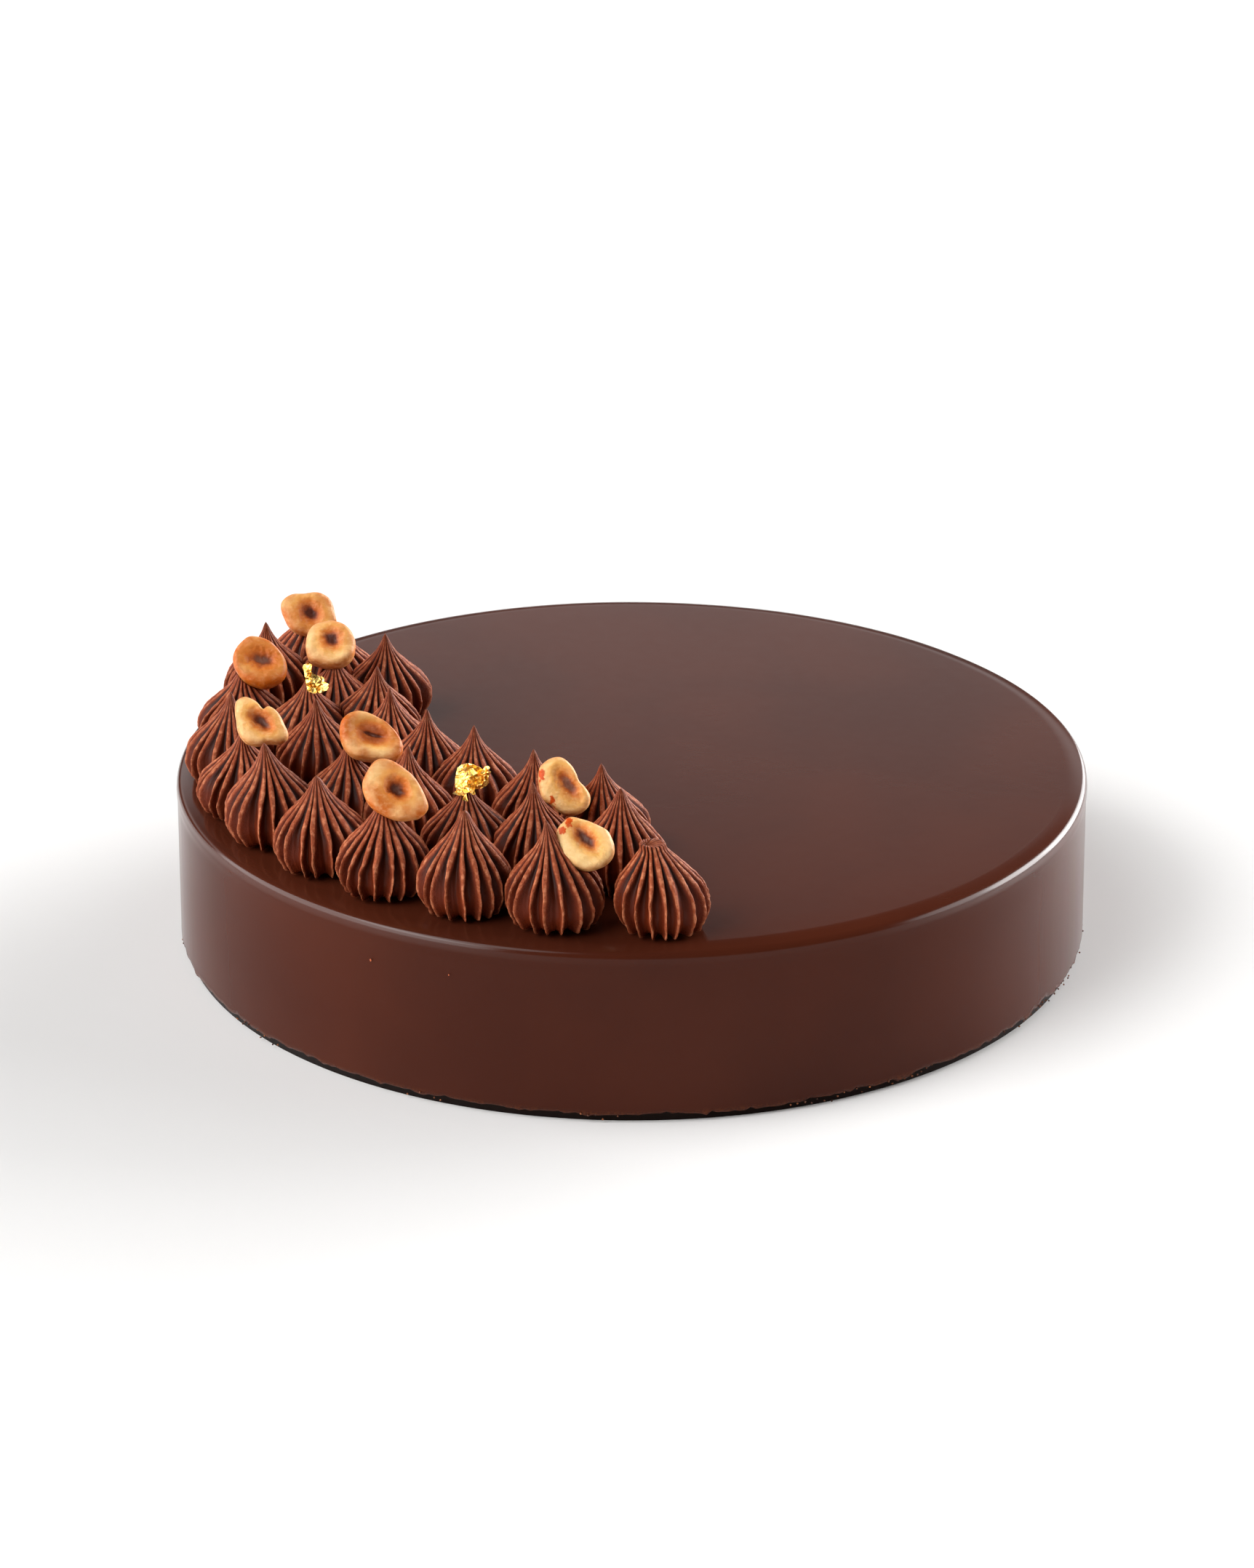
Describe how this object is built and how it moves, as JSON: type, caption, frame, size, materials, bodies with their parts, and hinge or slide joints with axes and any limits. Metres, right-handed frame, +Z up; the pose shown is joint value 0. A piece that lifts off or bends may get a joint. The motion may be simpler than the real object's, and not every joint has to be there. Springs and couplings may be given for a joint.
{
  "type": "hazelnut chocolate truffle cake",
  "caption": "Low round cake under a smooth dark chocolate glaze, with a crescent of piped ganache kisses along one side of its top, roasted hazelnut halves and flakes of gold leaf.",
  "frame": {"origin": "centre of the cake's flat underside", "axes": "+Z up, out of the cake's top; -Y towards the front, where the crescent of kisses starts, and -X towards the side that it covers"},
  "size_m": [0.2, 0.2, 0.0657],
  "materials": {
    "glaze": "satin",
    "ganache": "matte",
    "hazelnut": "satin",
    "gold_leaf": "polished"
  },
  "bodies": {
    "root": {"glazed_cake": "glaze", "gold_leaf_1": "gold_leaf", "gold_leaf_2": "gold_leaf", "hazelnut_half_1": "hazelnut", "hazelnut_half_2": "hazelnut", "hazelnut_half_3": "hazelnut", "hazelnut_half_4": "hazelnut", "hazelnut_half_5": "hazelnut", "hazelnut_half_6": "hazelnut", "hazelnut_half_7": "hazelnut", "hazelnut_half_8": "hazelnut", "kiss_inner_01": "ganache", "kiss_inner_02": "ganache", "kiss_inner_03": "ganache", "kiss_inner_04": "ganache", "kiss_inner_05": "ganache", "kiss_inner_06": "ganache", "kiss_inner_07": "ganache", "kiss_middle_01": "ganache", "kiss_middle_02": "ganache", "kiss_middle_03": "ganache", "kiss_middle_04": "ganache", "kiss_middle_05": "ganache", "kiss_middle_06": "ganache", "kiss_middle_07": "ganache", "kiss_middle_08": "ganache", "kiss_middle_09": "ganache", "kiss_rim_01": "ganache", "kiss_rim_02": "ganache", "kiss_rim_03": "ganache", "kiss_rim_04": "ganache", "kiss_rim_05": "ganache", "kiss_rim_06": "ganache", "kiss_rim_07": "ganache", "kiss_rim_08": "ganache", "kiss_rim_09": "ganache", "kiss_rim_10": "ganache", "kiss_rim_11": "ganache"}
  },
  "joints": []
}
